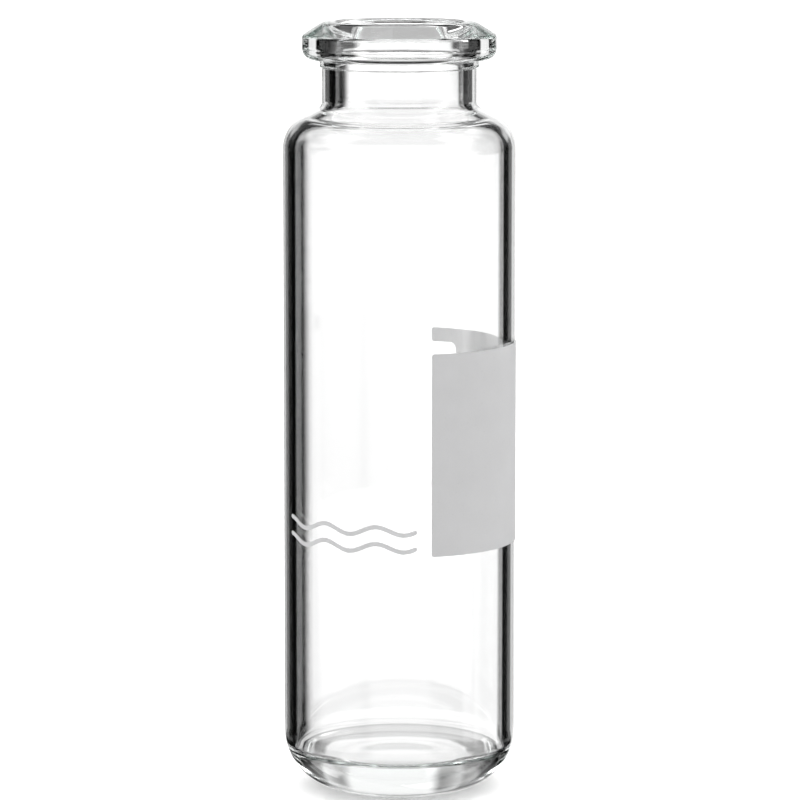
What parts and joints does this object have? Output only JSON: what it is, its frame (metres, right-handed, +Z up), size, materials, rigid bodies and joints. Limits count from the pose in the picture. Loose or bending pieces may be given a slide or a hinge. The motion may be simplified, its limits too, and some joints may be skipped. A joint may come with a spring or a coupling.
{
  "type": "glass sample vial",
  "caption": "Clear glass crimp-top headspace vial with rounded heel, sloped shoulder, short neck, bevelled crimp lip, fired-on grey writing patch and wavy level lines.",
  "frame": {"origin": "on the vial's axis, in the plane of the foot ring that it stands on", "axes": "+Z up along the vial's axis through the mouth; -Y is the front that carries the level lines; +X is the middle of the writing patch"},
  "size_m": [0.0228, 0.0228, 0.0755],
  "materials": {
    "clear_glass": "fire-polished, clear and colourless with a faint cool tint at the edges",
    "patch_enamel": "matt light grey fired-on enamel that takes pen or pencil",
    "line_enamel": "matt light grey fired-on enamel, thin"
  },
  "bodies": {
    "root": {"vial_glass": "clear_glass", "writing_patch": "patch_enamel", "level_lines": "line_enamel"}
  },
  "joints": []
}
